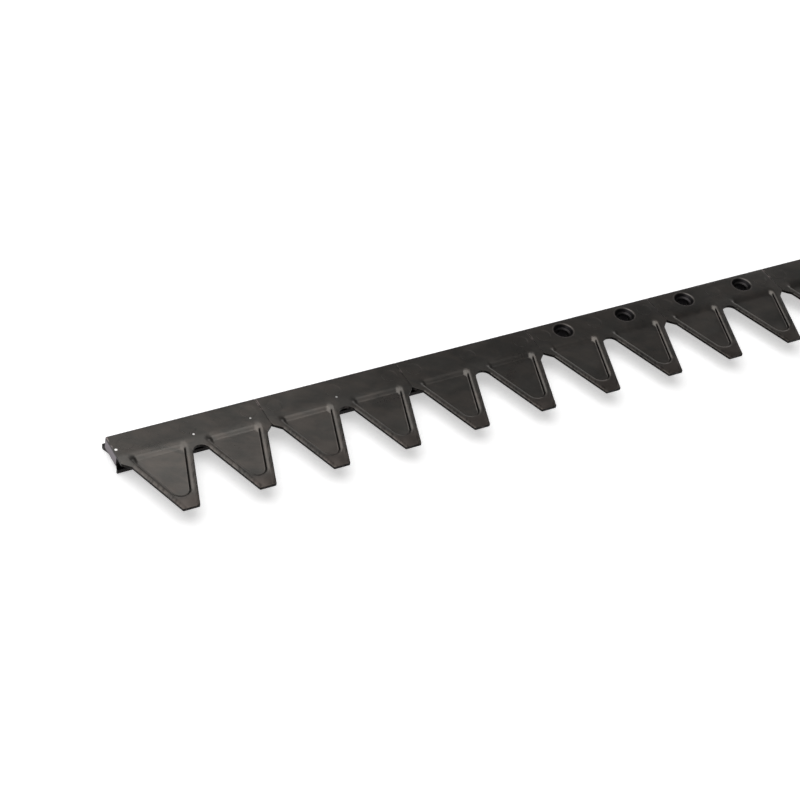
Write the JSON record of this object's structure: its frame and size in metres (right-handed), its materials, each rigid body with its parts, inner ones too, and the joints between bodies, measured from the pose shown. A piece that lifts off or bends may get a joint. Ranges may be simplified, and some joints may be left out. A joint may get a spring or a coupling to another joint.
{
  "type": "sickle bar mower knife",
  "caption": "Knife of a sickle bar mower: steel plates with blunt trapezoid teeth and pressed fields, riveted on a flat bar with guide plates beneath and countersunk drive holes in the middle.",
  "frame": {"origin": "centre of the row of drive holes, on the underside of the bar, where the knife head is bolted on", "axes": "+X along the knife, -Y towards the tips of the teeth, +Z out of the shearing face"},
  "size_m": [0.8128, 0.0792, 0.0135],
  "materials": {
    "section_steel": "dark burnished steel, satin, worn bright on the edges",
    "rivet_steel": "ground flush steel, satin",
    "bar_steel": "dark rolled steel with lighter sawn ends",
    "guide_steel": "dark rolled steel"
  },
  "bodies": {
    "root": {"section_1": "section_steel", "section_2": "section_steel", "section_3": "section_steel", "section_4": "section_steel", "section_5": "section_steel", "section_6": "section_steel", "section_7": "section_steel", "section_8": "section_steel", "rivets_1": "rivet_steel", "rivets_2": "rivet_steel", "rivets_3": "rivet_steel", "rivets_4": "rivet_steel", "rivets_5": "rivet_steel", "rivets_6": "rivet_steel", "rivets_7": "rivet_steel", "rivets_8": "rivet_steel", "knife_bar": "bar_steel", "guide_1": "guide_steel", "guide_2": "guide_steel", "guide_3": "guide_steel", "guide_4": "guide_steel"}
  },
  "joints": []
}
